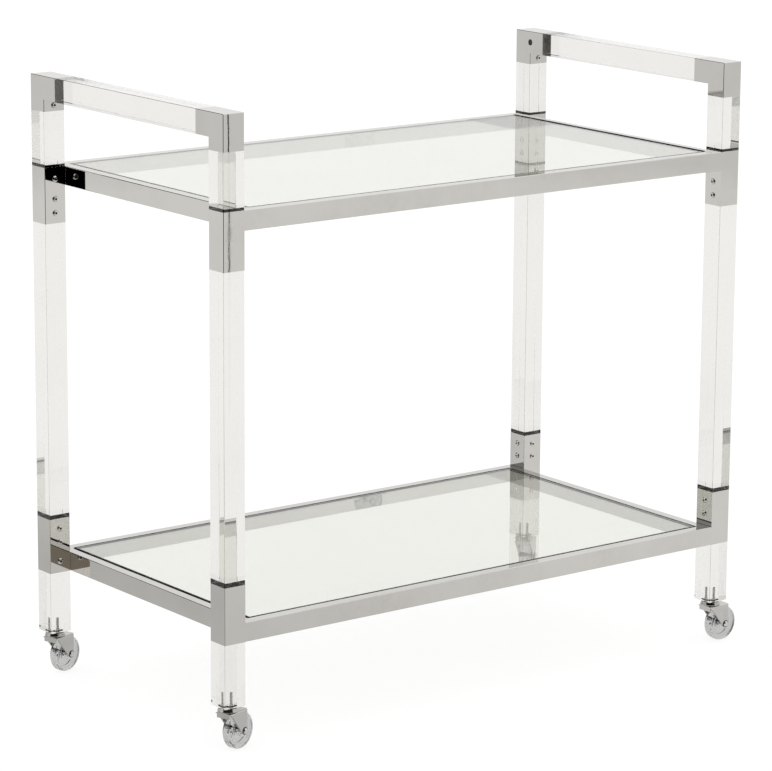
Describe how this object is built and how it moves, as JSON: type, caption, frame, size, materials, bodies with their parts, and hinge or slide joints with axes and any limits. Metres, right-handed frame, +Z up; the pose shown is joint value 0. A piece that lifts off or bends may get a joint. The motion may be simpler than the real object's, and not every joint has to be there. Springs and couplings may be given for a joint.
{
  "type": "bar cart",
  "caption": "Rolling bar cart with clear square posts and handle bars joined by chrome sleeves, glass shelves in chrome frames, and swivel casters with clear wheels.",
  "frame": {"origin": "on the floor, under the middle of the four posts", "axes": "+X along the cart's length, -Y its front, +Z up"},
  "size_m": [0.8931, 0.4624, 0.83],
  "materials": {
    "chrome": "polished",
    "caster_chrome": "polished",
    "acrylic": "clear polished",
    "clear_wheel": "clear moulded",
    "shelf_glass": "clear",
    "gasket": "satin",
    "screw_steel": "polished",
    "ball_steel": "polished"
  },
  "bodies": {
    "frame": {"caster_balls": "ball_steel", "caster_stem_back_left": "caster_chrome", "caster_stem_back_right": "caster_chrome", "caster_stem_front_left": "caster_chrome", "caster_stem_front_right": "caster_chrome", "foot_post_back_left": "acrylic", "foot_post_back_right": "acrylic", "foot_post_front_left": "acrylic", "foot_post_front_right": "acrylic", "frame_screws": "screw_steel", "handle_bar_left": "acrylic", "handle_bar_right": "acrylic", "handle_bracket_back_left": "chrome", "handle_bracket_back_right": "chrome", "handle_bracket_front_left": "chrome", "handle_bracket_front_right": "chrome", "lower_gasket": "gasket", "lower_glass": "shelf_glass", "lower_ledge": "chrome", "lower_rail_back": "chrome", "lower_rail_front": "chrome", "lower_rail_left": "chrome", "lower_rail_right": "chrome", "lower_sleeve_back_left": "chrome", "lower_sleeve_back_right": "chrome", "lower_sleeve_front_left": "chrome", "lower_sleeve_front_right": "chrome", "mid_post_back_left": "acrylic", "mid_post_back_right": "acrylic", "mid_post_front_left": "acrylic", "mid_post_front_right": "acrylic", "top_post_back_left": "acrylic", "top_post_back_right": "acrylic", "top_post_front_left": "acrylic", "top_post_front_right": "acrylic", "upper_gasket": "gasket", "upper_glass": "shelf_glass", "upper_ledge": "chrome", "upper_rail_back": "chrome", "upper_rail_front": "chrome", "upper_rail_left": "chrome", "upper_rail_right": "chrome", "upper_sleeve_back_left": "chrome", "upper_sleeve_back_right": "chrome", "upper_sleeve_front_left": "chrome", "upper_sleeve_front_right": "chrome"},
    "swivel_front_left": {"caster_fork_front_left": "caster_chrome", "caster_axle_front_left": "caster_chrome"},
    "wheel_front_left": {"caster_wheel_front_left": "clear_wheel"},
    "swivel_back_left": {"caster_fork_back_left": "caster_chrome", "caster_axle_back_left": "caster_chrome"},
    "wheel_back_left": {"caster_wheel_back_left": "clear_wheel"},
    "swivel_front_right": {"caster_fork_front_right": "caster_chrome", "caster_axle_front_right": "caster_chrome"},
    "wheel_front_right": {"caster_wheel_front_right": "clear_wheel"},
    "swivel_back_right": {"caster_fork_back_right": "caster_chrome", "caster_axle_back_right": "caster_chrome"},
    "wheel_back_right": {"caster_wheel_back_right": "clear_wheel"}
  },
  "joints": [
    {"name": "swivel_front_left", "type": "hinge", "parent": "frame", "child": "swivel_front_left", "pos_m": [-0.416, -0.208, 0.0545], "axis": [0, 0, 1], "continuous": true},
    {"name": "roll_front_left", "type": "hinge", "parent": "swivel_front_left", "child": "wheel_front_left", "pos_m": [-0.39698, -0.20182, 0.025], "axis": [-0.309, 0.9511, 0], "continuous": true},
    {"name": "swivel_back_left", "type": "hinge", "parent": "frame", "child": "swivel_back_left", "pos_m": [-0.416, 0.208, 0.0545], "axis": [0, 0, 1], "continuous": true},
    {"name": "roll_back_left", "type": "hinge", "parent": "swivel_back_left", "child": "wheel_back_left", "pos_m": [-0.39698, 0.21418, 0.025], "axis": [-0.309, 0.9511, 0], "continuous": true},
    {"name": "swivel_front_right", "type": "hinge", "parent": "frame", "child": "swivel_front_right", "pos_m": [0.416, -0.208, 0.0545], "axis": [0, 0, 1], "continuous": true},
    {"name": "roll_front_right", "type": "hinge", "parent": "swivel_front_right", "child": "wheel_front_right", "pos_m": [0.43599, -0.2073, 0.025], "axis": [-0.0349, 0.9994, 0], "continuous": true},
    {"name": "swivel_back_right", "type": "hinge", "parent": "frame", "child": "swivel_back_right", "pos_m": [0.416, 0.208, 0.0545], "axis": [0, 0, 1], "continuous": true},
    {"name": "roll_back_right", "type": "hinge", "parent": "swivel_back_right", "child": "wheel_back_right", "pos_m": [0.43238, 0.21947, 0.025], "axis": [-0.5736, 0.8192, 0], "continuous": true}
  ]
}
